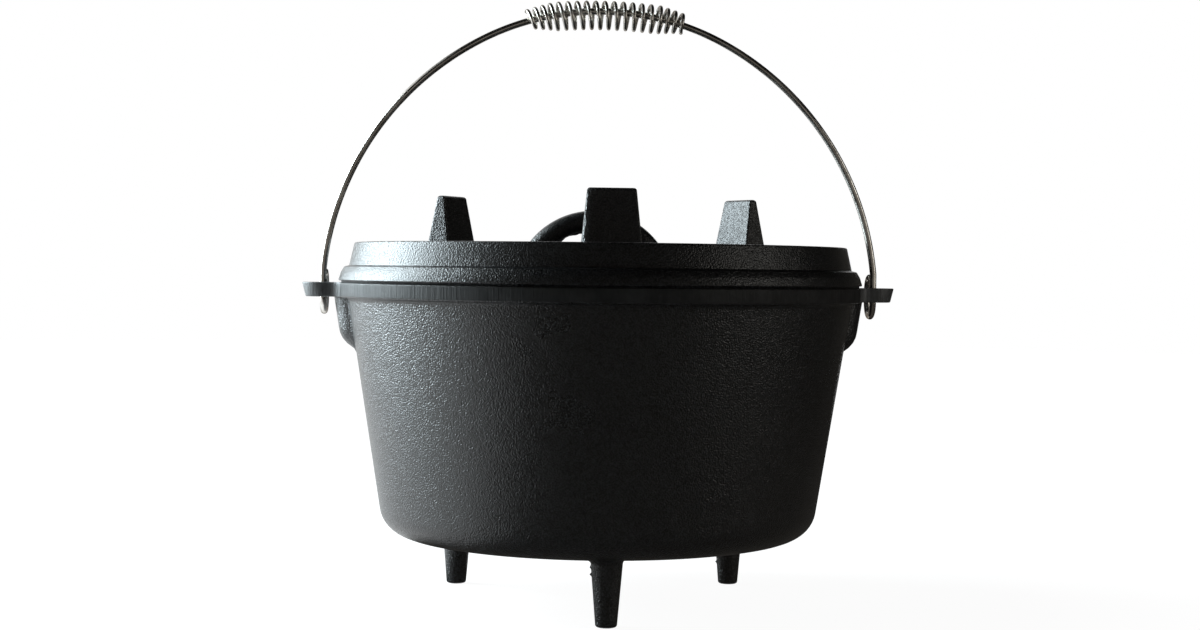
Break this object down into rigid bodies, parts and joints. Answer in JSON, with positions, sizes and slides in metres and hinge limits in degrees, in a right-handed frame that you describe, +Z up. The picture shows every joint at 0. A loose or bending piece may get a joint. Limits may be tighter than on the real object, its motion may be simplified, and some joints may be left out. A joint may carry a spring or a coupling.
{
  "type": "camp dutch oven",
  "caption": "Cast-iron camp oven: a deep pot on short legs with a rimmed ember lid, a loop lid handle, and a swinging wire bail with a sliding coiled grip.",
  "frame": {"origin": "on the ground below the middle of the pot", "axes": "+Z up, -Y to the front, with one leg and one lid foot in front; X through the two ears"},
  "size_m": [0.357, 0.313, 0.3592],
  "materials": {
    "pot_iron": "seasoned, fine cast grain",
    "lid_iron": "seasoned, fine cast grain",
    "bail_steel": "drawn wire",
    "coil_steel": "drawn wire, bright"
  },
  "bodies": {
    "pot": {"pot": "pot_iron"},
    "lid": {"lid": "lid_iron"},
    "bail": {"bail": "bail_steel"},
    "grip": {"grip_coil": "coil_steel"}
  },
  "joints": [
    {"name": "bail_swing", "type": "hinge", "parent": "pot", "child": "bail", "pos_m": [0, 0.00925, 0.183], "axis": [1, 0, 0], "range_deg": [-125, 22]},
    {"name": "lid_lift", "type": "slide", "parent": "pot", "child": "lid", "axis": [0, 0.8192, 0.5736], "range_m": [0, 0.42]},
    {"name": "grip_slide", "type": "hinge", "parent": "bail", "child": "grip", "pos_m": [0, 0.00025, 0.19622], "axis": [0, 1, 0], "range_deg": [-8, 8]}
  ]
}
